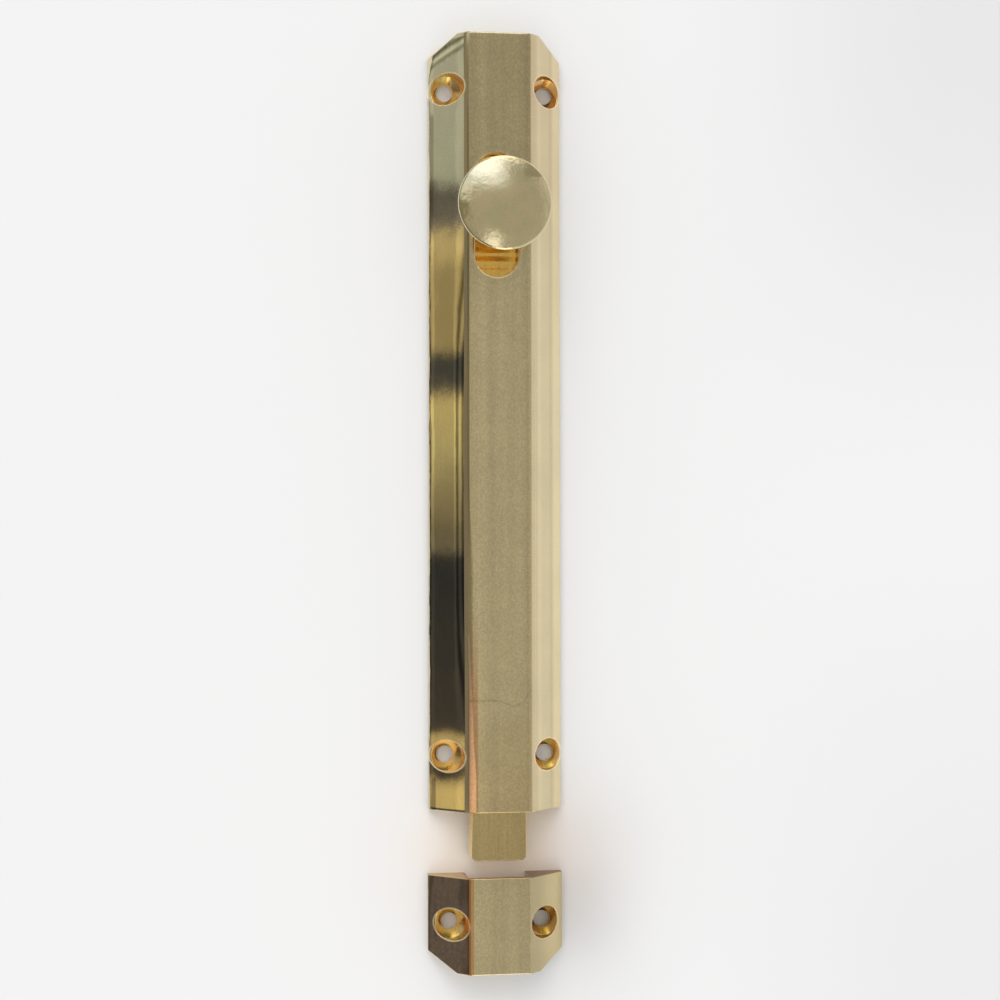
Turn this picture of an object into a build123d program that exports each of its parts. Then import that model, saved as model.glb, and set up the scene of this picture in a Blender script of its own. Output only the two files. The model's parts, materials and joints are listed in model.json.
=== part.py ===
from build123d import *
import os
from math import isclose

# Flat slide bolt for a door: a casing, a flat bar with a knob that slides inside it, and a separate keep.
# X runs across the bolt, Y along it with the knob end at +Y, and Z rises out of the door face.
# The origin is the middle of the whole set, on the back plane (Z = 0). All sizes are in millimetres.

# ---- Casing ----
casing_length = 203.1
casing_width = 35.0
casing_height = 12.1
casing_edge_height = 2.0  # upright outer edge below the long slopes
casing_crown_x = 8.5  # where the flat crown and a slope would meet if the shoulder were sharp
casing_shoulder_radius = 3.0
casing_cut = (6.8, 5.3)  # corner cut at the knob end, across and along the bolt
casing_rim_radius = 0.5  # soft edge round the knob end
mouth_rim_radius = 0.2  # soft edge where the bar comes out, and round the keep's mouth
rim_reach = 1.0  # an edge this close to an end face belongs to the rim of that end

# ---- Keep ----
keep_length = 24.9
keep_width = 35.6
keep_height = 11.7
keep_edge_height = 1.9
keep_crown_x = 7.9
keep_shoulder_radius = 1.2
keep_cut = (6.9, 5.0)
keep_rim_radius = 0.35
keep_gap = 17.0  # from the casing's open end to the keep, as laid out
keep_end_wall = 3.0
socket_width = 16.2
socket_height = 9.35
socket_corner_radius = 0.8

# ---- Countersunk holes for wood screws ----
screw_bore_radius = 2.25
screw_head_radius = 4.1
countersink_angle = 90.0  # every countersink in the set
screw_rim_radius = 0.2  # soft edge round each countersink
screw_rim_reach = 0.1  # how far a rim may lie outside its countersink
casing_screw_x = 13.3
casing_screw_near = 14.4  # from the casing's open end
casing_screw_far = 188.8
casing_seat_height = 1.3  # where the bore ends and the countersink begins
keep_screw_x = 12.3
keep_screw_inset = 12.3  # from the keep's mouth
keep_seat_height = 2.0
keep_head_radius = 4.1

# ---- Bar, its channel and the slot for the knob ----
bar_width = 14.4
bar_bottom = 1.5
bar_top = 9.0
bar_corner_radius = 1.5
bar_edge_radius = 0.25
bar_tail = 28.5  # bar behind the knob's axis, so that it always fills the slot
bar_reach = 12.8  # bar showing past the casing's open end, as laid out
channel_clearance = 0.3
channel_end_clearance = 1.5  # behind the bar when it is drawn right back
slot_x = -0.8  # the slot was milled a little to the left of the bar's middle
slot_turn = 90.0  # the slot's long way runs along the bolt
slot_length = 32.4
slot_width = 11.4
slot_from_end = 155.2  # middle of the slot, from the casing's open end
slot_rim_radius = 0.4
slot_clearance = 0.4  # between the knob's neck and the slot's ends at the limits

# ---- Knob ----
knob_from_end = 157.0  # knob axis from the casing's open end, as laid out
neck_radius = 3.5
neck_straight_top = 13.2
knob_flare_end = (8.8, 19.1)  # radius and height where the neck's flare meets the underside
knob_rim_bottom = (11.4, 20.0)
knob_rim_edge = (12.2, 20.8)
knob_rim_top = (11.7, 21.54)
knob_top = 23.7

# ---- Knob screw, countersunk into the underside of the bar ----
knob_screw_radius = 2.0
knob_screw_head_radius = 3.6
knob_screw_top = 17.5
screw_slot_width = 0.9
screw_slot_depth = 0.8

# ---- Back plate and the pins that hold it in the casing ----
plate_thickness = 1.2
plate_width = 20.8
plate_far_margin = 2.5
plate_side_clearance = 0.1
pin_x = 9.25
pin_rows = (18.5, 101.5, 182.0)  # from the casing's open end
pin_radius = 0.75
pin_head_radius = 1.1
pin_head_height = 0.35
pin_length = 4.6

# ---- Friction spring in a pocket under the bar ----
pocket_width = 8.6
pocket_length = 62.0
pocket_depth = 1.7
pocket_from_nose = 70.0
spring_width = 7.4
spring_thickness = 0.4
spring_tab = 12.0
spring_length = 57.0
spring_plate_gap = 0.1
spring_free_drop = 0.1
rivet_radius = 0.9
rivet_head_radius = 1.6
rivet_head_height = 0.6
rivet_top = 6.0
rivet_pitch = 5.5

# ---- Places along the bolt ----
set_length = casing_length + keep_gap + keep_length
far_end_y = set_length / 2
open_end_y = far_end_y - casing_length
keep_mouth_y = open_end_y - keep_gap
keep_end_y = keep_mouth_y - keep_length
slot_y = open_end_y + slot_from_end
knob_y = open_end_y + knob_from_end
nose_y = open_end_y - bar_reach
tail_y = knob_y + bar_tail
bar_length = tail_y - nose_y
bar_middle_y = (tail_y + nose_y) / 2


# ---- Travel of the bar and of the channel that it needs ----
half_travel = slot_length / 2 - neck_radius - slot_clearance
travel_out = half_travel + knob_y - slot_y
travel_in = half_travel - knob_y + slot_y
channel_end_y = tail_y + travel_in + channel_end_clearance
channel_width = bar_width + 2 * channel_clearance
channel_top = bar_top + channel_clearance
print("bar travel out", round(travel_out, 2), "in", round(travel_in, 2))

os.makedirs("parts", exist_ok=True)


def write(piece, label):
    """Name a finished piece and write it as its own STEP file."""
    piece.label = label
    export_step(piece, f"parts/{label}.step")


def back_plane(x, y, z=0.0):
    """A plane at a point on the back, facing out of the back."""
    return Plane(origin=(x, y, z), x_dir=(1, 0, 0), z_dir=(0, 0, -1))


def bevelled_block(start_y, length, width, height, edge_height, crown_x, shoulder_radius):
    """The long moulded section: flat crown, rounded shoulders, straight slopes and upright edges."""
    with BuildPart() as block:
        with BuildSketch(Plane.XZ.offset(-start_y)) as section:
            with BuildLine():
                Polyline(
                    (-width / 2, 0),
                    (-width / 2, edge_height),
                    (-crown_x, height),
                    (crown_x, height),
                    (width / 2, edge_height),
                    (width / 2, 0),
                    close=True,
                )
            make_face()
            fillet(section.vertices().group_by(Axis.Y)[-1], shoulder_radius)
        extrude(amount=length)
    return block.part


def edges_above(part, height):
    """The edges of a part that lie wholly above a height."""
    return part.edges().filter_by(lambda edge: edge.bounding_box().min.Z > height)


def screw_rims(part, places, seat_height, head_radius):
    """The edges where the countersinks meet the outer faces, without the edges inside the holes."""
    cone_top = seat_height + head_radius - screw_bore_radius
    reach = head_radius + screw_rim_reach
    rims = []
    for edge in part.edges().filter_by(GeomType.LINE, reverse=True):
        middle = edge.center()
        above_seat = middle.Z > seat_height + screw_rim_reach
        on_cone_top = isclose(middle.Z, cone_top, abs_tol=screw_rim_reach / 10)
        near_hole = any(max(abs(middle.X - x), abs(middle.Y - y)) < reach for x, y in places)
        if near_hole and above_seat and not on_cone_top:
            rims.append(edge)
    return rims


def corner_triangle(width, end_y, direction, cut):
    """One corner, seen from above, that is cut off at an end; the other is its mirror image."""
    half = width / 2
    return [(half - cut[0], end_y), (half, end_y - direction * cut[1]), (half, end_y)]


# ---- Casing: closed at the knob end, with the channel, the slot and four countersunk holes ----
casing_screw_rows = (open_end_y + casing_screw_near, open_end_y + casing_screw_far)
casing_screw_places = [(side * casing_screw_x, row) for side in (-1, 1) for row in casing_screw_rows]
pin_places = [(side * pin_x, open_end_y + row) for row in pin_rows for side in (-1, 1)]
plate_length = casing_length - plate_far_margin
plate_middle_y = open_end_y + plate_length / 2

casing_blank = bevelled_block(
    far_end_y,
    casing_length,
    casing_width,
    casing_height,
    casing_edge_height,
    casing_crown_x,
    casing_shoulder_radius,
)
with BuildPart() as body_casing:
    add(casing_blank)
    with BuildSketch(Plane.XY):
        with BuildLine():
            Polyline(*corner_triangle(casing_width, far_end_y, 1, casing_cut), close=True)
        make_face()
        mirror(about=Plane.YZ)
    extrude(amount=casing_height, mode=Mode.SUBTRACT)
    upper_edges = edges_above(body_casing, casing_edge_height / 2)
    cut_start_y = far_end_y - casing_cut[1]
    end_edges = upper_edges.filter_by(lambda edge: edge.bounding_box().min.Y > cut_start_y - rim_reach)
    fillet(end_edges.filter_by(lambda edge: edge.length < casing_width), casing_rim_radius)
    mouth_edges = upper_edges.filter_by(lambda edge: edge.bounding_box().max.Y < open_end_y + rim_reach)
    fillet(mouth_edges, mouth_rim_radius)
    with BuildSketch(Plane.XY):
        with Locations((0, plate_middle_y)):
            Rectangle(plate_width + 2 * plate_side_clearance, plate_length)
    extrude(amount=plate_thickness, mode=Mode.SUBTRACT)
    with BuildSketch(Plane.XY):
        with Locations((0, (open_end_y + channel_end_y) / 2)):
            Rectangle(channel_width, channel_end_y - open_end_y)
    extrude(amount=channel_top, mode=Mode.SUBTRACT)
    with BuildSketch(Plane.XY.offset(bar_top)):
        with Locations((slot_x, slot_y)):
            SlotOverall(slot_length, slot_width, rotation=slot_turn)
    extrude(amount=casing_height - bar_top, mode=Mode.SUBTRACT)
    crown_edges = body_casing.edges().group_by(Axis.Z)[-1]
    slot_edges = crown_edges.filter_by(lambda edge: abs(edge.center().Y - slot_y) <= slot_length / 2)
    fillet(slot_edges, slot_rim_radius)
    with Locations(Plane.XY.offset(casing_seat_height + screw_head_radius - screw_bore_radius)):
        with Locations(*casing_screw_places):
            CounterSinkHole(screw_bore_radius, screw_head_radius, casing_height, countersink_angle)
    hole_rims = screw_rims(body_casing, casing_screw_places, casing_seat_height, screw_head_radius)
    fillet(hole_rims, screw_rim_radius)
    with Locations(*[back_plane(x, y, plate_thickness) for x, y in pin_places]):
        Hole(pin_radius, pin_length - plate_thickness)
write(body_casing.part, "body_casing")

# ---- Back plate: closes the channel and carries the friction spring's rubbing load ----
with BuildPart() as back_plate:
    with BuildSketch(Plane.XY):
        with Locations((0, plate_middle_y)):
            Rectangle(plate_width, plate_length)
    extrude(amount=plate_thickness)
    with Locations(*[back_plane(x, y) for x, y in pin_places]):
        CounterSinkHole(pin_radius, pin_head_radius, plate_thickness, countersink_angle)
write(back_plate.part, "back_plate")

# ---- Six pins through the back plate into the casing ----
for number, (x, y) in enumerate(pin_places, start=1):
    with BuildPart() as plate_pin:
        with BuildSketch(Plane.XY):
            with Locations((x, y)):
                Circle(pin_radius)
        extrude(amount=pin_length)
        with BuildSketch(Plane.XY):
            with Locations((x, y)):
                Circle(pin_head_radius)
        extrude(amount=pin_head_height, taper=countersink_angle / 2)
    write(plate_pin.part, f"plate_pin_{number}")

# ---- Bar: rounded nose, a pocket for the spring and a countersunk hole for the knob's screw ----
pocket_start_y = nose_y + pocket_from_nose
pocket_middle_y = pocket_start_y + pocket_length / 2
rivet_rows = [pocket_start_y + spring_tab / 2 + side * rivet_pitch / 2 for side in (-1, 1)]
with BuildPart() as bolt_bar:
    with BuildSketch(Plane.XY.offset(bar_bottom)) as outline:
        with Locations((0, bar_middle_y)):
            Rectangle(bar_width, bar_length)
        fillet(outline.vertices().group_by(Axis.Y)[0], bar_corner_radius)
    extrude(amount=bar_top - bar_bottom)
    fillet(bolt_bar.edges().group_by(Axis.Z)[-1], bar_edge_radius)
    with BuildSketch(Plane.XY.offset(bar_bottom)):
        with Locations((0, pocket_middle_y)):
            Rectangle(pocket_width, pocket_length)
    extrude(amount=pocket_depth, mode=Mode.SUBTRACT)
    with Locations(back_plane(0, knob_y, bar_bottom)):
        CounterSinkHole(knob_screw_radius, knob_screw_head_radius, bar_top - bar_bottom, countersink_angle)
    with Locations(*[back_plane(0, row, bar_bottom + pocket_depth) for row in rivet_rows]):
        Hole(rivet_radius, rivet_top - bar_bottom - pocket_depth)
write(bolt_bar.part, "bolt_bar")

# ---- Knob: a turned, domed disc on a flared neck ----
knob_axis = Axis((0, knob_y, 0), (0, 0, 1))
knob_plane = Plane(origin=(0, knob_y, 0), x_dir=(1, 0, 0), z_dir=(0, -1, 0))
with BuildPart() as knob:
    with BuildSketch(knob_plane):
        with BuildLine():
            Polyline((0, knob_top), (0, bar_top), (neck_radius, bar_top), (neck_radius, neck_straight_top))
            TangentArc((neck_radius, neck_straight_top), knob_flare_end, tangent=(0, 1))
            Line(knob_flare_end, knob_rim_bottom)
            ThreePointArc(knob_rim_bottom, knob_rim_edge, knob_rim_top)
            TangentArc((0, knob_top), knob_rim_top, tangent=(1, 0))
        make_face()
    revolve(axis=knob_axis)
    with Locations(back_plane(0, knob_y, bar_top)):
        Hole(knob_screw_radius, knob_screw_top - bar_top)
write(knob.part, "knob")

# ---- Knob screw: slotted countersunk machine screw ----
with BuildPart() as knob_screw:
    with BuildSketch(Plane.XY.offset(bar_bottom)):
        with Locations((0, knob_y)):
            Circle(knob_screw_radius)
    extrude(amount=knob_screw_top - bar_bottom)
    with BuildSketch(Plane.XY.offset(bar_bottom)):
        with Locations((0, knob_y)):
            Circle(knob_screw_head_radius)
    extrude(amount=knob_screw_head_radius - knob_screw_radius, taper=countersink_angle / 2)
    with BuildSketch(Plane.XY.offset(bar_bottom)):
        with Locations((0, knob_y)):
            Rectangle(2 * knob_screw_head_radius, screw_slot_width)
    extrude(amount=screw_slot_depth, mode=Mode.SUBTRACT)
write(knob_screw.part, "knob_screw")

# ---- Leaf spring: a bowed strip, riveted at one end, that presses towards the back plate ----
spring_top = bar_bottom + pocket_depth
tab_start_y = pocket_start_y
bow_start_y = tab_start_y + spring_tab
bow_end_y = tab_start_y + spring_length
bow_middle_y = (bow_start_y + bow_end_y) / 2
bow_low = plate_thickness + spring_plate_gap
spring_plane = Plane(origin=(-spring_width / 2, 0, 0), x_dir=(0, 1, 0), z_dir=(1, 0, 0))
with BuildPart() as leaf_spring:
    with BuildSketch(spring_plane):
        with BuildLine():
            spring_under = spring_top - spring_thickness
            free_top = spring_top - spring_free_drop
            free_under = free_top - spring_thickness
            Line((tab_start_y, spring_top), (bow_start_y, spring_top))
            ThreePointArc(
                (bow_start_y, spring_top), (bow_middle_y, bow_low + spring_thickness), (bow_end_y, free_top)
            )
            Line((bow_end_y, free_top), (bow_end_y, free_under))
            ThreePointArc((bow_end_y, free_under), (bow_middle_y, bow_low), (bow_start_y, spring_under))
            Line((bow_start_y, spring_under), (tab_start_y, spring_under))
            Line((tab_start_y, spring_under), (tab_start_y, spring_top))
        make_face()
    extrude(amount=spring_width)
    with Locations(*[back_plane(0, row, spring_under) for row in rivet_rows]):
        Hole(rivet_radius, spring_thickness)
write(leaf_spring.part, "leaf_spring")

# ---- Two rivets that hold the leaf spring under the bar ----
for number, row in enumerate(rivet_rows, start=1):
    with BuildPart() as spring_rivet:
        with BuildSketch(Plane.XY.offset(spring_under)):
            with Locations((0, row)):
                Circle(rivet_radius)
        extrude(amount=rivet_top - spring_under)
        with BuildSketch(Plane.XY.offset(spring_under - rivet_head_height)):
            with Locations((0, row)):
                Circle(rivet_head_radius)
        extrude(amount=rivet_head_height)
        fillet(spring_rivet.edges().group_by(Axis.Z)[0], rivet_head_height / 2)
    write(spring_rivet.part, f"spring_rivet_{number}")

# ---- Keep: the same moulded section, with a socket open at the mouth and at the back ----
socket_length = keep_length - keep_end_wall
keep_screw_places = [(side * keep_screw_x, keep_mouth_y - keep_screw_inset) for side in (-1, 1)]
keep_blank = bevelled_block(
    keep_mouth_y, keep_length, keep_width, keep_height, keep_edge_height, keep_crown_x, keep_shoulder_radius
)
with BuildPart() as keep_casing:
    add(keep_blank)
    with BuildSketch(Plane.XY):
        with BuildLine():
            Polyline(*corner_triangle(keep_width, keep_end_y, -1, keep_cut), close=True)
        make_face()
        mirror(about=Plane.YZ)
    extrude(amount=keep_height, mode=Mode.SUBTRACT)
    upper_edges = edges_above(keep_casing, keep_edge_height / 2)
    cut_start_y = keep_end_y + keep_cut[1]
    end_edges = upper_edges.filter_by(lambda edge: edge.bounding_box().max.Y < cut_start_y + rim_reach)
    fillet(end_edges.filter_by(lambda edge: edge.length < keep_width), keep_rim_radius)
    mouth_edges = upper_edges.filter_by(lambda edge: edge.bounding_box().min.Y > keep_mouth_y - rim_reach)
    fillet(mouth_edges, mouth_rim_radius)
    with BuildSketch(Plane.XY) as socket_outline:
        with Locations((0, keep_mouth_y - socket_length / 2)):
            Rectangle(socket_width, socket_length)
        fillet(socket_outline.vertices().group_by(Axis.Y)[0], socket_corner_radius)
    extrude(amount=socket_height, mode=Mode.SUBTRACT)
    with Locations(Plane.XY.offset(keep_seat_height + keep_head_radius - screw_bore_radius)):
        with Locations(*keep_screw_places):
            CounterSinkHole(screw_bore_radius, keep_head_radius, keep_height, countersink_angle)
    hole_rims = screw_rims(keep_casing, keep_screw_places, keep_seat_height, keep_head_radius)
    fillet(hole_rims, screw_rim_radius)
write(keep_casing.part, "keep_casing")
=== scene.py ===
import json
import math

import bpy
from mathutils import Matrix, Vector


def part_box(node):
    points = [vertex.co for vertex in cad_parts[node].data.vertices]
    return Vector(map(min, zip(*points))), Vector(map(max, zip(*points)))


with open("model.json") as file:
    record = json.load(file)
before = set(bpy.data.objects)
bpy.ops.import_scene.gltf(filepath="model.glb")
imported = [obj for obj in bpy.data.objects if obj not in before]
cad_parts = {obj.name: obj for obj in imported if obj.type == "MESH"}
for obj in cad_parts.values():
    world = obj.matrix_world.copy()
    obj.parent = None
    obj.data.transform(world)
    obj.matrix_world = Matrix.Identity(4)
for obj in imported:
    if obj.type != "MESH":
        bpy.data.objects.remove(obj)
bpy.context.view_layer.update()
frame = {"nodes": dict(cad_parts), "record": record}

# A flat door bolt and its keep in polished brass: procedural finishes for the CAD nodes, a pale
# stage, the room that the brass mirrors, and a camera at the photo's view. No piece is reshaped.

MM = 0.001


# ---------------------------------------------------------------- node helpers
class Graph:
    """A node tree with short calls for the nodes that the materials and the world use."""

    def __init__(self, tree):
        self.tree = tree
        self.tree.nodes.clear()

    def add(self, kind, settings=None, **inputs):
        """A new node. Inputs named n0, n1 and so on are found by their number, others by their name."""
        made = self.tree.nodes.new("ShaderNode" + kind)
        for key, value in (settings or {}).items():
            setattr(made, key, value)
        for key, value in inputs.items():
            self.feed(made, key.replace("_", " "), value)
        return made

    def feed(self, node, key, value):
        """Link a socket to the input, or set the input to a constant."""
        numbered = key[0] == "n" and key[1:].isdigit()
        socket = node.inputs[int(key[1:])] if numbered else node.inputs[key]
        if isinstance(value, bpy.types.NodeSocket):
            self.tree.links.new(value, socket)
        else:
            socket.default_value = value

    def close(self, kind, shader):
        """Make the shader the surface of the material or the world."""
        output = self.add(kind)
        self.tree.links.new(shader.outputs[0], output.inputs["Surface"])

    def math(self, operation, first, second=0.0, third=0.0):
        made = self.add("Math", {"operation": operation}, n0=first, n1=second, n2=third)
        return made.outputs[0]

    def total(self, first, *others):
        for other in others:
            first = self.math("ADD", first, other)
        return first

    def product(self, first, *others):
        for other in others:
            first = self.math("MULTIPLY", first, other)
        return first

    def difference(self, first, second):
        return self.math("SUBTRACT", first, second)

    def apart(self, first, second):
        """How far two values are apart, without a sign."""
        return self.math("ABSOLUTE", self.difference(first, second))

    def clamped(self, value, low, high):
        return self.math("MINIMUM", self.math("MAXIMUM", value, low), high)

    def length(self, across, along):
        squares = self.total(self.product(across, across), self.product(along, along))
        return self.math("SQRT", squares)

    def bell(self, value, middle, width):
        """1 at the middle, and falling off smoothly to both sides."""
        share = self.math("DIVIDE", self.difference(value, middle), width)
        return self.math("EXPONENT", self.product(share, share, -1.0))

    def between(self, value, low, high, out_low=0.0, out_high=1.0):
        """A smooth step from out_low to out_high, while the value goes from low to high."""
        made = self.add("MapRange", {"interpolation_type": "SMOOTHSTEP"})
        for index, number in enumerate((value, low, high, out_low, out_high)):
            self.feed(made, f"n{index}", number)
        return made.outputs["Result"]

    def band(self, value, start, full, fading, end):
        """1 from full to fading and 0 before the start and after the end, with smooth steps between."""
        return self.product(self.between(value, start, full), self.between(value, fading, end, 1.0, 0.0))

    def ramp(self, factor, stops):
        """Colours read along a factor from 0 to 1, with straight lines between the stops."""
        made = self.add("ValToRGB", None, Fac=factor)
        made.color_ramp.interpolation = "LINEAR"
        elements = made.color_ramp.elements
        while len(elements) < len(stops):
            elements.new(0.5)
        for element, (place, colour) in zip(elements, stops):
            element.position = place
            element.color = (*colour, 1.0)
        return made.outputs["Color"]

    def profile(self, value, unit, start, span, pairs):
        """A grey tone read along a value, from pairs of a place and a tone.

        The places are counted in the unit, and lie within the span from the start.
        """
        along = self.math("MULTIPLY_ADD", value, 1 / (span * unit), -start / span)
        return self.ramp(along, [((place - start) / span, (tone, tone, tone)) for place, tone in pairs])

    def mix(self, factor, first, second, blend="MIX"):
        made = self.add("Mix", {"data_type": "RGBA", "blend_type": blend})
        self.feed(made, "n0", factor)
        self.feed(made, "n6", first)
        self.feed(made, "n7", second)
        return made.outputs[2]

    def multiplied(self, first, second):
        return self.mix(1.0, first, second, "MULTIPLY")

    def tinted(self, colour, tint, amount):
        """The colour, multiplied by the tint as far as the amount says."""
        return self.mix(amount, colour, self.multiplied(colour, tint))

    def shaded(self, colour, shade):
        """The colour, made lighter or darker by a number that varies from place to place."""
        return self.multiplied(colour, self.add("CombineXYZ", None, X=shade, Y=shade, Z=shade).outputs[0])

    def noise(self, place, scale, detail=2.0, roughness=0.5):
        made = self.add("TexNoise", None, Vector=place, Scale=scale, Detail=detail, Roughness=roughness)
        return made.outputs["Fac"]

    def stretched(self, place, scale):
        return self.add("Mapping", None, Vector=place, Scale=scale).outputs["Vector"]

    def axes(self, vector):
        return self.add("SeparateXYZ", None, Vector=vector).outputs


def new_material(name):
    material = bpy.data.materials.new(name)
    material.use_nodes = True
    return material, Graph(material.node_tree)


# ---------------------------------------------------------------- places, from the CAD nodes
(left, open_end, _), (right, far_end, crown_top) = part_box("body_casing")
(_, keep_end, _), (keep_right, keep_mouth, keep_top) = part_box("keep_casing")
(_, _, _), (bar_right, _, _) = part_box("bolt_bar")
knob_low, knob_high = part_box("knob")
knob_x, knob_y = [(low + high) / 2 for low, high in zip(knob_low[:2], knob_high[:2])]

# sizes that the nodes' boxes do not show: the screw heads, the two cut corners and the slot
HEAD_RADIUS = 4.1 * MM
CUT_ACROSS = 6.8 * MM
CUT_ALONG = 5.3 * MM
SLOT_X = -0.8 * MM
SLOT_Y = open_end + 155.2 * MM
SLOT_RADIUS = 5.7 * MM
SLOT_STRAIGHT = 16.2 * MM - SLOT_RADIUS


def screw_rows(name):
    """How far the screws stand from the middle line, and their rows along the bolt."""
    mount = next(mount for mount in frame["record"]["mounts"] if mount["name"] == name)
    middle = mount["pos_m"][1]
    half = mount["dims"].get("spacing_y_mm", 0.0) / 2 * MM
    return mount["dims"]["spacing_x_mm"] / 2 * MM, sorted({middle - half, middle + half})


# ---------------------------------------------------------------- brass
BRASS = (0.77, 0.66, 0.41)
BAR_BRASS = (0.64, 0.50, 0.25)
PLAIN_BRASS = (0.70, 0.57, 0.32)
SPRING_STEEL = (0.55, 0.55, 0.56)
# noise scales, per metre
ROLLING_SCALE = 150.0
GRAIN_SCALE = 2600.0
SCRATCH_SCALE = 3000.0
# tints, which multiply the colour of the brass
# a painted highlight on the eased rims of the holes and the slot
RIM_PAINTED_HIGHLIGHT = (1.30, 1.22, 1.26)
# painted reflections, highlights and shade inside the screw holes
HOLE_PAINTED_REFLECTION_GOLD = (1.25, 1.11, 0.93)
HOLE_PAINTED_SHADE_UPHILL = (0.90, 0.76, 0.60)
HOLE_PAINTED_HIGHLIGHT_ENDWARD = (1.2, 1.22, 1.25)
HOLE_PAINTED_BRIGHT_PATCH = (1.35, 1.40, 1.30)
HOLE_PAINTED_SHADE_RIGHT = (0.82, 0.76, 0.72)
# a painted dark reflection line at the foot of the left shoulder
SHOULDER_PAINTED_DARK_LINE = (0.66, 0.63, 0.54)
# painted reflection colour of the shoulder streaks on casing and keep
SHOULDER_PAINTED_COPPER_REFLECTION = (0.88, 0.63, 0.55)
KEEP_PAINTED_COPPER_REFLECTION = (0.95, 0.66, 0.50)
# painted dark reflection lines along the left outer edge
NEAR_EDGE_PAINTED_DARK_REFLECTION = (0.42, 0.42, 0.50)
FAR_EDGE_PAINTED_DARK_REFLECTION = (0.60, 0.60, 0.60)
SLOPE_RED = (0.965, 0.93, 0.93)
CROWN_RED = (0.98, 0.93, 0.87)
# a painted reflection tint on the keep's right slope
KEEP_SLOPE_PAINTED_REFLECTION_TINT = (0.98, 0.95, 0.87)
KEEP_MOTTLE = (1.42, 1.34, 1.36)
# painted shade on the keep's mouth faces
MOUTH_PAINTED_SHADE_BROWN = (0.80, 0.62, 0.42)
MOUTH_PAINTED_SHADE_RIGHT = (0.66, 0.57, 0.48)
KNOB_CLOUD = (0.93, 0.975, 0.97)
# a painted reflection on the bar round the knob's seat
SEAT_PAINTED_REFLECTION_GOLD = (1.42, 1.14, 0.62)
# a painted highlight along the bar's edges
FLANK_PAINTED_HIGHLIGHT = (1.5, 1.42, 1.1)


class Finish:
    """What one brass piece adds to the plain finish: heights, roughness, shades and tinted parts."""

    def __init__(self, graph, place):
        self.graph = graph
        self.place = place
        self.x, self.y, self.z = graph.axes(place)
        self.aside = graph.math("ABSOLUTE", self.x)
        self.heights = []
        self.roughs = []
        self.shades = []
        self.tints = []

    def tint(self, amount, colour):
        self.tints.append((amount, colour))

    def vary(self, *shares):
        """Make the piece lighter or darker by the product of the shares."""
        self.shades.append(self.graph.total(self.graph.product(*shares), 1.0))

    def roll(self, distance, width, tilt):
        """The buff has rounded the last few millimetres before an edge off by a tilt in radians."""
        graph = self.graph
        short = graph.math("MAXIMUM", graph.difference(width, distance), 0.0)
        self.heights.append(graph.product(short, short, -0.5 * tilt / width))

    def rim(self, outside):
        """The edge of a hole was eased with a fine stone: a satin ring, rougher than the polish, with a pale
        painted highlight on it.
        """
        graph = self.graph
        ring = graph.band(outside, -0.02 * MM, 0.02 * MM, 0.26 * MM, 0.46 * MM)
        self.tint(ring, RIM_PAINTED_HIGHLIGHT)
        self.roughs.append(graph.product(ring, 0.34))

    def screw_holes(self, name, depth=0.07 * MM, reach=5.6 * MM):
        """Every screw hole has a shallow dish worn round it, an eased rim, and painted gold reflections and
        shade inside.
        """
        graph = self.graph
        screw_x, rows = screw_rows(name)
        for row in rows:
            across = graph.difference(self.aside, screw_x)
            radius = graph.length(across, graph.difference(self.y, row))
            self.heights.append(graph.product(graph.bell(radius, 0.0, reach), -depth))
            outside = graph.difference(radius, HEAD_RADIUS)
            self.rim(outside)
            inside = graph.between(outside, -0.1 * MM, 0.0, 1.0, 0.0)
            self.roughs.append(graph.product(inside, 0.10))
            self.paint_hole_wall_light(inside, across, screw_x, row)

    def paint_hole_wall_light(self, inside, across, screw_x, row):
        """Painted reflection of brass in brass inside the hole: gold, with deep gold painted shade towards
        the crown and a paler painted highlight towards the end of the set.
        """
        graph = self.graph
        self.tint(inside, HOLE_PAINTED_REFLECTION_GOLD)
        uphill = graph.between(across, 0.5 * MM, -3.5 * MM)
        self.tint(graph.product(inside, uphill), HOLE_PAINTED_SHADE_UPHILL)
        towards_end = graph.product(graph.difference(self.y, row), math.copysign(1.0, row))
        endward = graph.between(towards_end, 0.8 * MM, 3.0 * MM)
        self.tint(graph.product(inside, endward), HOLE_PAINTED_HIGHLIGHT_ENDWARD)
        # painted shade on the right holes' walls, and on those nearest the gap a painted bright patch too
        shade_side = graph.product(inside, graph.between(self.x, -1 * MM, 1 * MM))
        if row < 0:
            from_patch = graph.apart(self.x, screw_x + 0.6 * MM)
            bright = graph.product(endward, graph.between(from_patch, 1.7 * MM, 0.8 * MM))
            self.tint(graph.product(inside, bright), HOLE_PAINTED_BRIGHT_PATCH)
            shade_side = graph.product(shade_side, graph.difference(1.0, bright))
        self.tint(shade_side, HOLE_PAINTED_SHADE_RIGHT)


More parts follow.
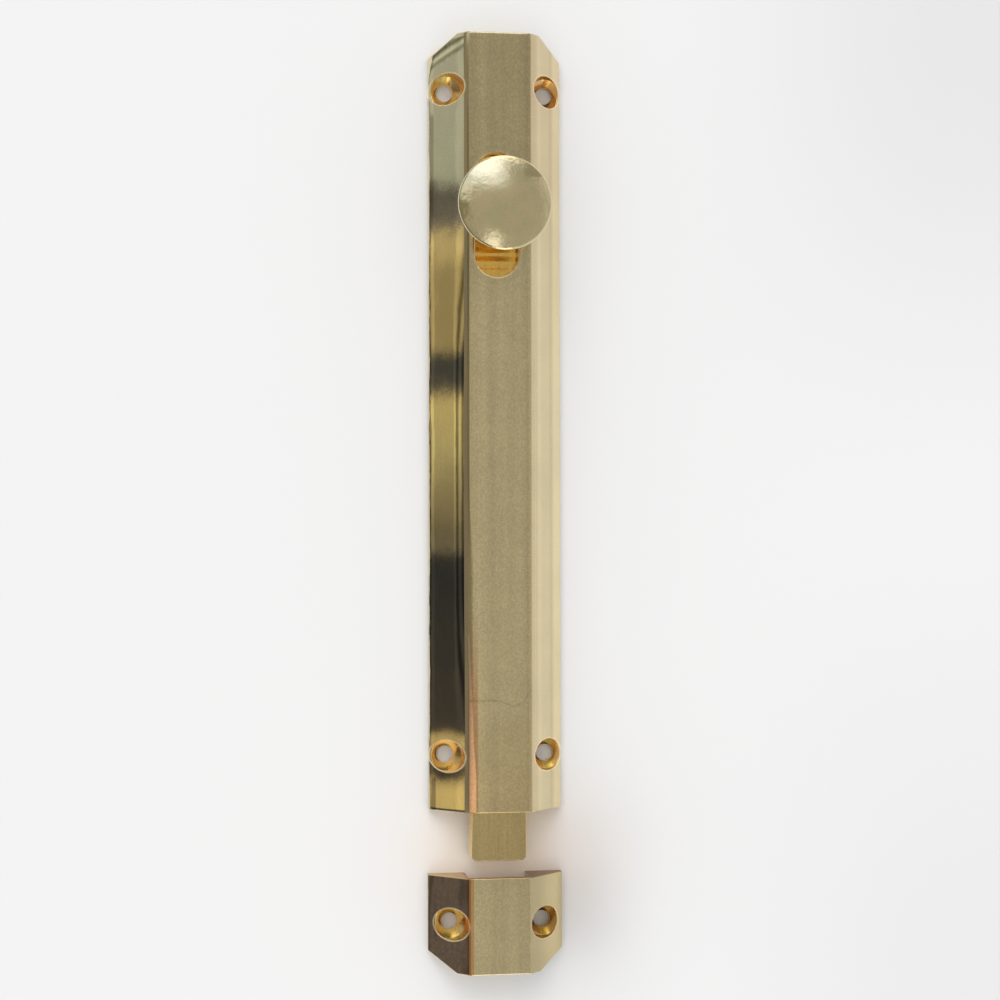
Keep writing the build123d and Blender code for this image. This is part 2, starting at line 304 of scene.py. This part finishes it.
def brass(name, colour=BRASS, roughness=0.035, wave=0.006, grain=0.004, speck=0.04, scratch=0.0, finish=None):
    """Metal with a cloudy tone, a rolling polish (wave), grain, specks and faint scratches."""
    material, graph = new_material(name)
    place = graph.add("TexCoord").outputs["Object"]
    part = Finish(graph, place)
    cloud = graph.noise(place, 90.0, 4.0)
    fine = graph.noise(place, GRAIN_SCALE, 3.0, 0.7)
    dark = (*[channel * 0.95 for channel in colour], 1.0)
    light = (*[channel * 1.02 for channel in colour], 1.0)
    tone = graph.mix(graph.between(cloud, 0.3, 0.7), dark, light)
    tone = graph.shaded(tone, graph.between(fine, 0.35, 0.65, 1.0 - speck, 1.0 + speck))
    rolling = graph.noise(graph.stretched(place, (1.0, 0.45, 1.0)), ROLLING_SCALE, 1.0)
    part.heights.append(graph.product(rolling, wave / (2 * ROLLING_SCALE)))
    part.heights.append(graph.product(fine, grain / (2 * GRAIN_SCALE)))
    part.roughs.append(graph.between(cloud, 0.3, 0.7, roughness * 0.9, roughness * 1.12))
    if scratch:
        hair = graph.noise(graph.stretched(place, (1.0, 0.03, 1.0)), SCRATCH_SCALE, 2.0)
        part.heights.append(graph.product(graph.between(hair, 0.55, 0.75), scratch / SCRATCH_SCALE))
        part.roughs.append(graph.between(hair, 0.55, 0.7, 0.0, roughness * 0.5))
    if finish:
        finish(part)
    for amount, tint in part.tints:
        tone = graph.tinted(tone, (*tint, 1.0), amount)
    for shade in part.shades:
        tone = graph.shaded(tone, shade)
    height = graph.total(*part.heights)
    bump = graph.add("Bump", None, Strength=1.0, Distance=1.0, Height=height).outputs[0]
    rough = graph.total(*part.roughs)
    shader = graph.add("BsdfPrincipled", None, Base_Color=tone, Metallic=1.0, Roughness=rough, Normal=bump)
    graph.close("OutputMaterial", shader)
    return material


def satin_crown(part, top):
    """The crown is satin with soft streaks along the bolt; the slopes beside it are buffed bright."""
    graph = part.graph
    crown = graph.between(part.z, top - 0.35 * MM, top - 0.02 * MM)
    streak = graph.noise(graph.stretched(part.place, (1.0, 0.02, 1.0)), 260.0, 2.0)
    sand = graph.noise(graph.stretched(part.place, (1.0, 0.7, 1.0)), 2100.0, 2.0, 0.8)
    streaky = graph.between(streak, 0.3, 0.7, 0.93, 1.06)
    sandy = graph.between(sand, 0.3, 0.7, 0.90, 1.10)
    part.vary(graph.difference(graph.product(streaky, sandy), 1.0), crown)
    part.roughs.append(graph.product(crown, 0.1))
    return crown


def rough_back(part):
    """The back was never polished."""
    graph = part.graph
    back = graph.between(part.z, 0.25 * MM, 0.05 * MM)
    file_marks = graph.noise(graph.stretched(part.place, (1.0, 0.08, 1.0)), 900.0, 3.0)
    part.heights.append(graph.product(back, file_marks, 0.02 * MM))
    part.roughs.append(graph.product(back, 0.3))


# ---------------------------------------------------------------- casing
# long painted reflection streaks, light and dark, on the crown and the right slope: x in mm, tone
PAINTED_REFLECTION_STREAKS = (
    (-7.4, 1.00), (-5.6, 1.08), (-4.2, 1.05), (-3.3, 0.97), (-2.2, 0.95), (-0.8, 1.00),
    (6.0, 0.99), (6.7, 0.98), (7.15, 0.91), (7.6, 1.00), (8.8, 1.05), (9.6, 0.84),
    (10.7, 1.01), (11.6, 0.93), (13.8, 0.925), (14.5, 0.84), (15.6, 1.09),
)


def ease_casing_edges(part):
    """The buff has rounded off the long sides, both ends and the two cut corners."""
    graph = part.graph
    part.roll(graph.difference(right, part.aside), 1.5 * MM, 0.045)
    part.roll(graph.difference(part.y, open_end), 1.0 * MM, 0.03)
    from_far_end = graph.difference(far_end, part.y)
    part.roll(from_far_end, 1.5 * MM, 0.06)
    cut = math.hypot(CUT_ACROSS, CUT_ALONG)
    from_cut = graph.total(
        graph.product(graph.difference(right - CUT_ACROSS, part.aside), CUT_ALONG / cut),
        graph.product(from_far_end, CUT_ACROSS / cut),
    )
    part.roll(from_cut, 4.5 * MM, 0.05)


def bend_left_slope(part):
    """The left slope turns up into the shoulder gradually, most of all in the middle of its length."""
    graph = part.graph
    bend_start = -11.9 * MM
    bend_width = 2.5 * MM
    bend_end = -7.2 * MM
    end_width = 2.2 * MM
    turn = graph.between(graph.apart(part.y, 5 * MM), 25 * MM, 65 * MM, -26.0, -6.0)
    before = graph.clamped(graph.difference(part.x, bend_start), 0.0, bend_width)
    after = graph.clamped(graph.difference(bend_end, part.x), 0.0, end_width)
    bend = graph.total(graph.product(before, before), graph.product(after, after, -bend_width / end_width))
    part.heights.append(graph.product(bend, turn))
    # near the open end the shoulder also spreads into the crown
    spread = graph.between(part.y, 12 * MM, -20 * MM, 0.0, 0.40 * MM)
    part.heights.append(graph.product(graph.between(part.x, -8.8 * MM, -6.0 * MM), spread))


def line_left_side(part):
    """Painted reflection lines along the left shoulder and the left edge."""
    graph = part.graph
    # a fine painted dark reflection line at the foot of the shoulder
    painted_dark_line = graph.product(
        graph.band(part.x, -8.75 * MM, -8.4 * MM, -8.2 * MM, -7.9 * MM),
        graph.between(part.y, -25 * MM, 10 * MM),
        graph.between(part.y, 90 * MM, 110 * MM, 1.0, 0.6),
    )
    part.tint(painted_dark_line, SHOULDER_PAINTED_DARK_LINE)
    # near the open end the shoulder has a painted reflection streak the colour of copper, lit by the white
    # card
    copper = graph.band(part.x, -8.7 * MM, -8.2 * MM, -6.3 * MM, -5.7 * MM)
    part.tint(graph.product(copper, graph.between(part.y, -25 * MM, -55 * MM)), SHOULDER_PAINTED_COPPER_REFLECTION)
    # painted dark reflection lines on the outer edge, near the open end and between the far screw hole and
    # the knob
    from_edge = graph.difference(part.x, left)
    near_line = graph.band(from_edge, 0.35 * MM, 0.6 * MM, 1.3 * MM, 1.7 * MM)
    part.tint(graph.product(near_line, graph.between(part.y, -71 * MM, -73 * MM)), NEAR_EDGE_PAINTED_DARK_REFLECTION)
    far_line = graph.band(from_edge, 0.25 * MM, 0.55 * MM, 1.0 * MM, 1.4 * MM)
    beside_knob = graph.band(part.y, 68 * MM, 76 * MM, 101 * MM, 103 * MM)
    part.tint(graph.product(far_line, beside_knob), FAR_EDGE_PAINTED_DARK_REFLECTION)


def grind_casing_and_paint_streaks(part):
    """Short hairy polishing marks, and long painted reflection streaks."""
    graph = part.graph
    hair = graph.noise(graph.stretched(part.place, (1.0, 0.3, 1.0)), 1100.0, 2.0, 0.6)
    part.heights.append(graph.product(hair, 0.0026 * MM))
    ragged = graph.noise(graph.stretched(part.place, (1.0, 0.25, 1.0)), 420.0, 1.0)
    part.heights.append(graph.product(ragged, 0.006 * MM))
    # painted reflection streaks, as a shade across the bolt
    streaks = graph.profile(part.x, unit=MM, start=-8.0, span=24.0, pairs=PAINTED_REFLECTION_STREAKS)
    part.shades.append(graph.add("RGBToBW", None, Color=streaks).outputs[0])
    # the right slope is a little redder towards the knob end
    far_slope = graph.product(
        graph.between(part.x, 7.6 * MM, 8.2 * MM),
        graph.between(part.y, 60 * MM, 95 * MM),
    )
    part.tint(far_slope, SLOPE_RED)


def mark_crown(part, crown):
    """The crown is redder near the open end, darker at the knob end, and has one faint wavy line."""
    graph = part.graph
    part.tint(graph.product(crown, graph.between(part.y, -50 * MM, -75 * MM)), CROWN_RED)
    part.vary(crown, graph.between(part.y, 45 * MM, 85 * MM, 0.0, -0.2))
    dip = graph.bell(part.x, 3.4 * MM, 2.6 * MM)
    rise = graph.bell(part.x, 8.0 * MM, 1.3 * MM)
    line_y = graph.total(graph.product(dip, -1.4 * MM), graph.product(rise, 2.6 * MM), -51.6 * MM)
    part.vary(crown, graph.between(graph.apart(part.y, line_y), 0.1 * MM, 0.45 * MM, -0.15, 0.0))


def mark_slot(part, crown):
    """An eased rim round the slot, its painted highlight brightest at its near end, and faint rings of tone
    round it.
    """
    graph = part.graph
    beyond = graph.difference(graph.apart(part.y, SLOT_Y), SLOT_STRAIGHT)
    beyond = graph.math("MAXIMUM", beyond, 0.0)
    across = graph.difference(part.x, SLOT_X)
    from_slot = graph.difference(graph.length(across, beyond), SLOT_RADIUS)
    part.rim(from_slot)
    # the second rim lies over the first one at the near end only, doubling the painted highlight there:
    # elsewhere it is moved off the edge
    moved_off = graph.between(part.y, SLOT_Y - 14 * MM, SLOT_Y - 8 * MM, 0.0, 5 * MM)
    part.rim(graph.total(from_slot, moved_off))
    ripple = graph.math("SINE", graph.product(from_slot, 2 * math.pi / (2.2 * MM)))
    part.vary(crown, graph.between(from_slot, 4.5 * MM, 1.5 * MM), ripple, 0.035)


def casing_finish(part):
    crown = satin_crown(part, crown_top)
    part.screw_holes("casing_screws")
    ease_casing_edges(part)
    bend_left_slope(part)
    line_left_side(part)
    grind_casing_and_paint_streaks(part)
    mark_crown(part, crown)
    mark_slot(part, crown)
    rough_back(part)


# ---------------------------------------------------------------- keep, knob and bar
def keep_finish(part):
    """Like the casing, with painted shade on the right slope, a mottled left one and a rough mouth whose
    brown is painted shade.
    """
    graph = part.graph
    satin_crown(part, keep_top)
    part.screw_holes("keep_screws", depth=0.03 * MM)
    part.roll(graph.difference(keep_right, part.aside), 1.5 * MM, 0.06)
    part.roll(graph.difference(part.y, keep_end), 1.0 * MM, 0.05)
    # painted shade on the right slope, darkest beside the crown, and a painted reflection tint
    right_slope = graph.between(part.x, 7.8 * MM, 8.2 * MM)
    painted_slope_shade = graph.between(part.x, 9 * MM, 16 * MM, 0.64, 0.84)
    part.vary(right_slope, graph.difference(painted_slope_shade, 1.0))
    part.tint(right_slope, KEEP_SLOPE_PAINTED_REFLECTION_TINT)
    # the mouth's end faces were left rough from the saw; their brown is painted shade, darker at the right
    mouth_faces = graph.between(part.y, keep_mouth - 0.12 * MM, keep_mouth - 0.02 * MM)
    part.tint(mouth_faces, MOUTH_PAINTED_SHADE_BROWN)
    part.tint(graph.product(mouth_faces, graph.between(part.x, 0.0, 7 * MM)), MOUTH_PAINTED_SHADE_RIGHT)
    part.roughs.append(graph.product(mouth_faces, 0.3))
    # the left slope is mottled, most of all towards the end
    mottle = graph.product(
        graph.between(graph.noise(part.place, 1100.0, 4.0, 0.75), 0.46, 0.66),
        graph.between(part.x, -8.9 * MM, -9.3 * MM),
        graph.between(part.y, keep_mouth - 3 * MM, keep_mouth - 16 * MM, 0.35, 1.0),
    )
    part.tint(mottle, KEEP_MOTTLE)
    # the left shoulder has the casing's painted reflection streak the colour of copper
    part.tint(graph.band(part.x, -8.9 * MM, -8.6 * MM, -7.2 * MM, -6.9 * MM), KEEP_PAINTED_COPPER_REFLECTION)
    rough_back(part)


def knob_finish(part):
    """The dome was buffed by hand: its surface is slightly hammered, most of all towards the rim."""
    graph = part.graph
    radius = graph.length(graph.difference(part.x, knob_x), graph.difference(part.y, knob_y))
    uneven = graph.noise(part.place, 330.0, 2.0, 0.6)
    facets = graph.noise(graph.stretched(part.place, (1.0, 0.5, 0.2)), 700.0, 1.0)
    amount = graph.between(radius, 3 * MM, 10 * MM, 0.5, 1.0)
    part.heights.append(graph.product(uneven, amount, 0.12 * MM))
    part.heights.append(graph.product(facets, amount, 0.004 * MM))
    cloudy = graph.between(graph.noise(part.place, 210.0, 3.0), 0.42, 0.62)
    part.tint(cloudy, KNOB_CLOUD)


def bar_finish(part):
    """Drawn bar: satin, painted glints on the top, and a deep gold painted reflection round the knob's seat.
    """
    graph = part.graph
    away = graph.apart(part.y, knob_y)
    seat = graph.between(away, 20 * MM, 26 * MM, 1.0, 0.0)
    # painted reflection: the deep gold that the slot's walls throw on the bar
    part.tint(seat, SEAT_PAINTED_REFLECTION_GOLD)
    rings = graph.math("SINE", graph.product(away, 2 * math.pi / (2.6 * MM)))
    part.heights.append(graph.product(seat, rings, 0.045 * MM))
    # a painted highlight along the bar's edges
    painted_flank_highlight = graph.between(part.aside, bar_right - 0.2 * MM, bar_right - 0.05 * MM)
    part.tint(painted_flank_highlight, FLANK_PAINTED_HIGHLIGHT)
    # painted glints: small bright specks over the bar
    painted_glints = graph.noise(part.place, 3100.0, 1.0, 0.9)
    part.shades.append(graph.between(painted_glints, 0.66, 0.74, 1.0, 1.35))
    drawn = graph.noise(graph.stretched(part.place, (1.0, 0.02, 1.0)), 1500.0, 2.0)
    part.shades.append(graph.between(drawn, 0.3, 0.7, 1.02, 1.13))


def dress():
    slots = {
        "body_casing": brass("polished_brass", finish=casing_finish),
        "keep_casing": brass("polished_brass_keep", wave=0.035, finish=keep_finish),
        "knob": brass("polished_brass_knob", roughness=0.13, wave=0.004, finish=knob_finish),
        "bolt_bar": brass("bar_brass", BAR_BRASS, roughness=0.2, speck=0.08, finish=bar_finish),
    }
    plain = brass("plain_brass", PLAIN_BRASS, roughness=0.25, scratch=0.002)
    slots["leaf_spring"] = brass("spring_steel", SPRING_STEEL, roughness=0.25, scratch=0.004)
    for name, node in frame["nodes"].items():
        node.data.materials.clear()
        node.data.materials.append(slots.get(name, plain))


# ---------------------------------------------------------------- stage
# the stage's sizes are in mm
FLOOR_HEIGHT = -0.2
FLOOR_HALF = 800
FLOOR_SEAM = -65
WHITE_CARD_HEIGHT = 35
BROWN_CARD_HEIGHT = 19


def place_sheet(name, outline, height, material, unseen_by=()):
    """A flat sheet of the stage: its outline and height, and the kinds of ray that do not meet it."""
    sheet = bpy.data.meshes.new(name)
    corners = [(x * MM, y * MM, height * MM) for x, y in outline]
    sheet.from_pydata(corners, [], [tuple(range(len(corners)))])
    sheet.materials.append(material)
    placed = bpy.data.objects.new(name, sheet)
    bpy.context.scene.collection.objects.link(placed)
    for kind in unseen_by:
        setattr(placed, "visible_" + kind, False)


def rectangle(low_x, low_y, high_x, high_y):
    return [(low_x, low_y), (high_x, low_y), (high_x, high_y), (low_x, high_y)]


def make_floor():
    """A pale sheet. Its far left part is not mirrored, so that the left slopes mirror the dim room."""
    material, graph = new_material("floor_paper")
    place = graph.add("NewGeometry").outputs["Position"]
    tone = graph.mix(graph.noise(place, 3.0), (0.785, 0.78, 0.78, 1), (0.80, 0.80, 0.80, 1))
    # painted shade: the sheet darkens a little towards its right corners, more at the knob end
    x, y, _ = graph.axes(place)
    painted_corner_shade = graph.product(
        graph.between(x, 40 * MM, 130 * MM),
        graph.between(graph.math("ABSOLUTE", y), 0.0, 130 * MM),
        graph.between(y, -100 * MM, 100 * MM, 0.6, 1.0),
    )
    tone = graph.tinted(tone, (0.90, 0.90, 0.90, 1), painted_corner_shade)
    paper = graph.add("BsdfPrincipled", None, Base_Color=tone, Roughness=0.9)
    graph.close("OutputMaterial", paper)
    left_part = rectangle(-FLOOR_HALF, -FLOOR_HALF, FLOOR_SEAM, FLOOR_HALF)
    right_part = rectangle(FLOOR_SEAM, -FLOOR_HALF, FLOOR_HALF, FLOOR_HALF)
    place_sheet("floor_left", left_part, FLOOR_HEIGHT, material, unseen_by=("glossy",))
    place_sheet("floor", right_part, FLOOR_HEIGHT, material)


def make_white_card():
    """A small card close over the open end, met only by the brass: a line along the left shoulder."""
    material, graph = new_material("white_card")
    x, y, _ = graph.axes(graph.add("NewGeometry").outputs["Position"])
    strength = graph.product(
        graph.between(y, -40 * MM, -80 * MM, 0.5, 1.0),
        graph.between(x, -34 * MM, -14 * MM, 0.65, 1.0),
    )
    glow = graph.add("Emission", None, Color=(1.0, 0.96, 0.92, 1.0), Strength=strength)
    graph.close("OutputMaterial", glow)
    outline = [(-34, -92), (-8.6, -92), (-8.6, -74), (-30, -36), (-34, -36)]
    unseen_by = ("camera", "diffuse", "shadow", "transmission")
    place_sheet("white_card", outline, WHITE_CARD_HEIGHT, material, unseen_by)


def make_brown_card():
    """A warm card over the gap: it shades the sheet below and glows on it, deeper at the right."""
    material, graph = new_material("brown_card")
    x, _, _ = graph.axes(graph.add("NewGeometry").outputs["Position"])
    tone = graph.mix(graph.between(x, 4 * MM, 12 * MM), (0.64, 0.41, 0.19, 1.0), (0.25, 0.10, 0.0, 1.0))
    over_nose = graph.between(graph.math("ABSOLUTE", x), 11 * MM, 7 * MM)
    tone = graph.mix(over_nose, tone, (1.30, 0.95, 0.66, 1.0))
    glow = graph.add("Emission", None, Color=tone, Strength=1.0)
    graph.close("OutputMaterial", glow)
    unseen_by = ("camera", "glossy", "transmission")
    place_sheet("brown_card", rectangle(-19, -104, 29, -84), BROWN_CARD_HEIGHT, material, unseen_by)


def make_gap_lamps():
    """Two faint warm lamps between casing and keep, for the glow that the brass throws on the sheet."""
    # name, length and width, y in metres, height, watts, colour
    lamps = (
        ("end_lamp", 26, 5, open_end - 4 * MM, 12, 0.00038, (1.0, 0.78, 0.54)),
        ("nose_lamp", 16, 3, keep_mouth + 3 * MM, 6, 0.00018, (1.0, 0.84, 0.68)),
    )
    for name, length, width, y, height, watts, colour in lamps:
        data = bpy.data.lights.new(name, "AREA")
        data.shape = "RECTANGLE"
        data.size = length * MM
        data.size_y = width * MM
        data.energy = watts
        data.color = colour
        lamp = bpy.data.objects.new(name, data)
        bpy.context.scene.collection.objects.link(lamp)
        lamp.location = (0, y, height * MM)
        lamp.visible_camera = False
        lamp.visible_glossy = False


# ---------------------------------------------------------------- room
WARM_CEILING = (0.465, 0.445, 0.385)
# the dim side's lower part, which the left slope mirrors: place along the bolt, colour;
# a direction's place is its y, stretched and counted from the start
BANDS_STRETCH = 2.0
BANDS_START = 0.36
LEFT_BANDS = (
    (0.05, (0.112, 0.093, 0.102)),
    (0.07, (0.06, 0.05, 0.04)),
    (0.09, (0.62, 0.52, 0.27)),
    (0.135, (0.68, 0.56, 0.30)),
    (0.157, (0.40, 0.33, 0.19)),
    (0.165, (0.06, 0.055, 0.06)),
    (0.26, (0.045, 0.045, 0.05)),
    (0.34, (0.030, 0.033, 0.045)),
    (0.347, (0.032, 0.035, 0.045)),
    (0.355, (0.19, 0.17, 0.14)),
    (0.366, (0.16, 0.145, 0.11)),
    (0.41, (0.30, 0.27, 0.18)),
    (0.45, (0.47, 0.43, 0.26)),
    (0.485, (0.56, 0.49, 0.28)),
    (0.497, (0.50, 0.43, 0.25)),
    (0.506, (0.085, 0.085, 0.09)),
    (0.52, (0.060, 0.064, 0.075)),
    (0.543, (0.055, 0.060, 0.070)),
    (0.552, (0.35, 0.30, 0.18)),
    (0.625, (0.355, 0.305, 0.185)),
    (0.644, (0.60, 0.51, 0.30)),
    (0.649, (0.55, 0.47, 0.29)),
    (0.656, (0.165, 0.16, 0.17)),
    (0.672, (0.14, 0.14, 0.15)),
    (0.690, (0.10, 0.10, 0.11)),
    (0.701, (0.42, 0.465, 0.46)),
    (0.81, (0.45, 0.49, 0.50)),
    (0.84, (0.18, 0.20, 0.18)),
    (0.87, (0.62, 0.68, 0.66)),
    (0.90, (0.12, 0.13, 0.11)),
    (0.95, (0.50, 0.54, 0.52)),
)
# the walls above it, from the floor up to WALL_TOP: share of the height, colour
WALL_TOP = math.radians(80)
LEFT_WALL_ENDS = (
    (0.15, (0.20, 0.19, 0.16)),
    (0.25, (0.27, 0.26, 0.23)),
    (0.42, (0.27, 0.25, 0.20)),
    (0.62, (0.28, 0.26, 0.21)),
    (0.76, (0.42, 0.40, 0.34)),
    (0.82, WARM_CEILING),
)
LEFT_WALL_MIDDLE = (
    (0.15, (0.20, 0.19, 0.18)),
    (0.25, (0.24, 0.225, 0.20)),
    (0.50, (0.22, 0.20, 0.17)),
    (0.62, (0.26, 0.24, 0.19)),
    (0.69, (0.25, 0.225, 0.165)),
    (0.74, (0.27, 0.245, 0.18)),
    (0.83, WARM_CEILING),
)
RIGHT_WALL = (
    (0.0, (0.74, 0.72, 0.70)),
    (0.37, (0.74, 0.71, 0.69)),
    (0.60, (0.44, 0.43, 0.38)),
    (0.74, WARM_CEILING),
)
# shelves along the dim side lie as lines beside the shoulder: degrees above the horizon, tone
SHELVES = (
    (-4.0, 0.15), (-2.4, 0.15), (-1.8, 1.4), (-0.6, 1.6), (0.0, 1.2), (0.3, 1.0), (1.2, 1.0),
    (2.0, 1.50), (3.0, 1.45), (4.3, 0.4), (5.2, 0.4), (6.8, 1.3), (8.0, 1.3), (9.5, 0.4),
    (10.5, 0.4), (12.5, 1.2),
)


def patch(graph, direction, x_limits, y_limits, z_start=0.3, z_full=0.6):
    """1 inside a soft-edged patch of upward directions; limits hold start, full, fading and end."""
    x, y, z = direction
    upward = graph.between(z, z_start, z_full)
    return graph.product(graph.band(x, *x_limits), graph.band(y, *y_limits), upward)


def window_patch(graph, direction):
    """The big soft window beyond the knob end; it is the key light and the knob's highlight."""
    return patch(graph, direction, (-0.72, -0.28, -0.06, 0.32), (0.26, 0.66, 0.88, 0.94), 0.1, 0.3)


def shelved_bands(graph, y, elevation):
    """The bands along the bolt, crossed by the lines of the shelves, which are fainter at both ends."""
    bands = graph.ramp(graph.math("MULTIPLY_ADD", y, BANDS_STRETCH, BANDS_START), LEFT_BANDS)
    shelves = graph.profile(elevation, unit=math.radians(1), start=-4.0, span=18.0, pairs=SHELVES)
    fainter = graph.total(
        graph.between(y, 0.13, 0.17, 0.0, 0.6),
        graph.between(y, -0.06, -0.1, 0.0, 0.5),
    )
    shelves = graph.mix(fainter, shelves, (1.0, 1.0, 1.0, 1.0))
    return graph.multiplied(bands, shelves)


def make_walls(graph, x, y, elevation):
    """The dim left side with its bands, and the paler right side."""
    height = graph.math("DIVIDE", elevation, WALL_TOP)
    at_ends = graph.total(graph.between(y, 0.13, 0.17), graph.between(y, -0.11, -0.16))
    left_wall = graph.mix(at_ends, graph.ramp(height, LEFT_WALL_MIDDLE), graph.ramp(height, LEFT_WALL_ENDS))
    low = graph.between(elevation, math.radians(10.5), math.radians(14.0), 1.0, 0.0)
    left_wall = graph.mix(low, left_wall, shelved_bands(graph, y, elevation))
    return graph.mix(graph.between(x, -0.12, 0.12), left_wall, graph.ramp(height, RIGHT_WALL))


def make_room(graph, direction):
    """The room that the polished brass mirrors: walls, a window, lights and the pale table."""
    x, y, z = direction
    elevation = graph.math("ARCSINE", z)
    room = make_walls(graph, x, y, elevation)
    glow = patch(graph, direction, (-0.85, -0.60, -0.46, -0.34), (0.20, 0.28, 0.42, 0.52))
    room = graph.mix(glow, room, (0.80, 0.82, 0.80, 1.0))
    room = graph.mix(window_patch(graph, direction), room, (1.45, 1.55, 1.9, 1.0))
    lamp = patch(graph, direction, (-0.26, -0.08, -0.04, 0.20), (-0.80, -0.60, -0.50, -0.26))
    room = graph.mix(lamp, room, (1.28, 1.28, 1.28, 1.0))
    dark_corner = patch(graph, direction, (0.36, 0.44, 0.62, 0.70), (0.46, 0.52, 0.66, 0.72))
    room = graph.mix(dark_corner, room, (0.34, 0.335, 0.28, 1.0))
    # straight along the bolt, both ends of the room are bright up to about 35 degrees
    bright_ends = graph.product(
        graph.between(graph.apart(x, 0.1), 0.28, 0.18),
        graph.between(elevation, math.radians(42), math.radians(32)),
        graph.between(elevation, math.radians(-2), math.radians(2)),
    )
    room = graph.mix(bright_ends, room, (1.9, 1.85, 1.7, 1.0))
    # the table begins a little below the horizon, and lower still at the left
    table_edge = graph.between(x, -0.3, 0.3, math.radians(-6.5), math.radians(-0.5))
    table = graph.between(graph.difference(elevation, table_edge), math.radians(-1.5), 0.0, 1.0, 0.0)
    return graph.mix(table, room, (0.80, 0.78, 0.76, 1.0))


def make_world():
    """A pale room: plain to the camera and for the soft light, and with its details for the brass."""
    world = bpy.data.worlds.new("studio")
    bpy.context.scene.world = world
    world.use_nodes = True
    graph = Graph(world.node_tree)
    direction = graph.axes(graph.add("TexCoord").outputs["Generated"])
    glossy = graph.add("Background", None, Color=make_room(graph, direction), Strength=1.0)
    # the left side gives a little more light than the right one, and the window most of all
    from_side = graph.between(direction[0], -1.0, 1.0, 1.06, 0.77)
    key = graph.product(window_patch(graph, direction), 2.6)
    plain = graph.add("Background", None, Color=(1.0, 1.0, 1.0, 1), Strength=graph.total(from_side, key))
    path = graph.add("LightPath")
    choose = graph.add("MixShader", None, n0=path.outputs["Is Glossy Ray"])
    graph.tree.links.new(plain.outputs[0], choose.inputs[1])
    graph.tree.links.new(glossy.outputs[0], choose.inputs[2])
    graph.close("OutputWorld", choose)


# ---------------------------------------------------------------- camera
# found by fitting the CAD model's corners to the photo's view
CAMERA_PLACE = (-0.08322, -0.01063, 0.55341)
CAMERA_DEGREES = (1.166, -8.725, -0.097)
CAMERA_LENS = 75.99


def make_camera():
    data = bpy.data.cameras.new("camera")
    data.sensor_width = 36.0
    data.lens = CAMERA_LENS
    camera = bpy.data.objects.new("camera", data)
    bpy.context.scene.collection.objects.link(camera)
    camera.location = CAMERA_PLACE
    camera.rotation_euler = [math.radians(angle) for angle in CAMERA_DEGREES]
    bpy.context.scene.camera = camera


dress()
make_white_card()
make_brown_card()
make_gap_lamps()
make_floor()
make_world()
make_camera()
bpy.context.scene.view_settings.view_transform = "Standard"
